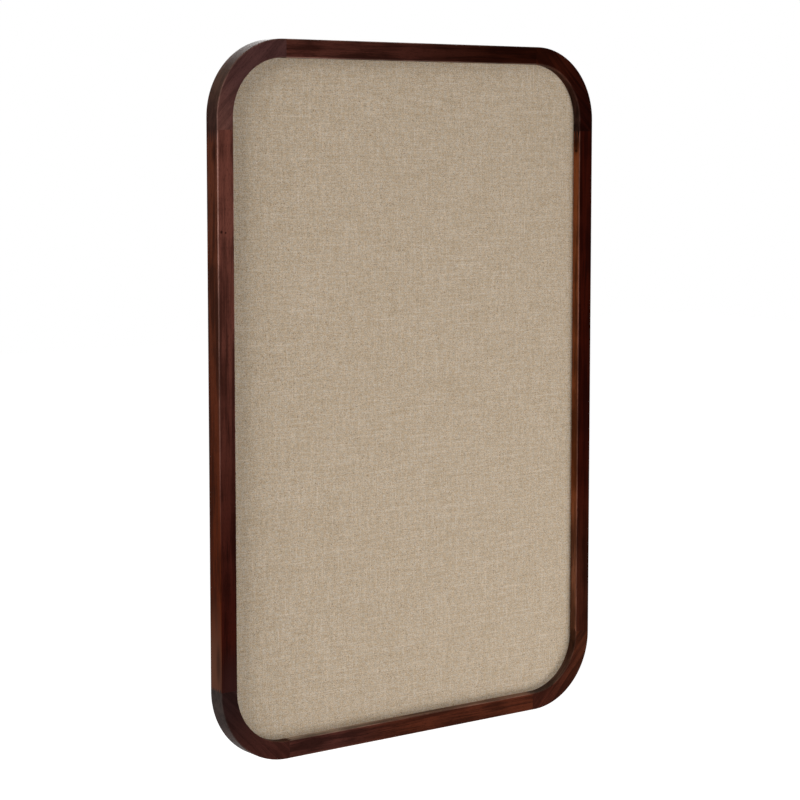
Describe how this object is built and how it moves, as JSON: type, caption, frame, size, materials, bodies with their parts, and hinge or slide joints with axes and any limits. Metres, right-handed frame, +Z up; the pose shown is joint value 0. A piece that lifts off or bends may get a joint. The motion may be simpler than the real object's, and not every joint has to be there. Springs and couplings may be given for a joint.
{
  "type": "bulletin board",
  "caption": "Tall wall bulletin board: round-cornered hardwood frame around a recessed linen-covered pin panel, with a hardboard back and swinging ring hangers.",
  "frame": {"origin": "middle of the wall plane that the rear faces of the four bumpers touch, level with the board's centre", "axes": "+X to the right as seen from the front, +Y into the wall, +Z up along the board's height"},
  "size_m": [0.61, 0.031, 0.914],
  "materials": {
    "stained_hardwood": "satin",
    "natural_linen": "matte",
    "soft_fibreboard": "matte",
    "hardboard": "matte",
    "spring_steel": "satin",
    "zinc_plated_steel": "bright",
    "bumper_rubber": "matte"
  },
  "bodies": {
    "board": {"left_stile": "stained_hardwood", "right_stile": "stained_hardwood", "top_rail": "stained_hardwood", "bottom_rail": "stained_hardwood", "corner_top_left": "stained_hardwood", "corner_top_right": "stained_hardwood", "corner_bottom_left": "stained_hardwood", "corner_bottom_right": "stained_hardwood", "linen_cover": "natural_linen", "pin_board": "soft_fibreboard", "backing_board": "hardboard", "tab_left_1": "spring_steel", "tab_left_2": "spring_steel", "tab_left_3": "spring_steel", "tab_left_4": "spring_steel", "tab_right_1": "spring_steel", "tab_right_2": "spring_steel", "tab_right_3": "spring_steel", "tab_right_4": "spring_steel", "tab_top_1": "spring_steel", "tab_top_2": "spring_steel", "tab_top_3": "spring_steel", "tab_bottom_1": "spring_steel", "tab_bottom_2": "spring_steel", "tab_bottom_3": "spring_steel", "hanger_strap_left": "zinc_plated_steel", "hanger_strap_right": "zinc_plated_steel", "hanger_screw_left_1": "zinc_plated_steel", "hanger_screw_left_2": "zinc_plated_steel", "hanger_screw_right_1": "zinc_plated_steel", "hanger_screw_right_2": "zinc_plated_steel", "bumper_top_left": "bumper_rubber", "bumper_top_right": "bumper_rubber", "bumper_bottom_left": "bumper_rubber", "bumper_bottom_right": "bumper_rubber"},
    "ring_left": {"hanger_ring_left": "zinc_plated_steel"},
    "ring_right": {"hanger_ring_right": "zinc_plated_steel"}
  },
  "joints": [
    {"name": "ring_left_swing", "type": "hinge", "parent": "board", "child": "ring_left", "pos_m": [-0.294, -0.00275, 0.257], "axis": [1, 0, 0], "range_deg": [0, 180]},
    {"name": "ring_right_swing", "type": "hinge", "parent": "board", "child": "ring_right", "pos_m": [0.294, -0.00275, 0.257], "axis": [1, 0, 0], "range_deg": [0, 180]}
  ]
}
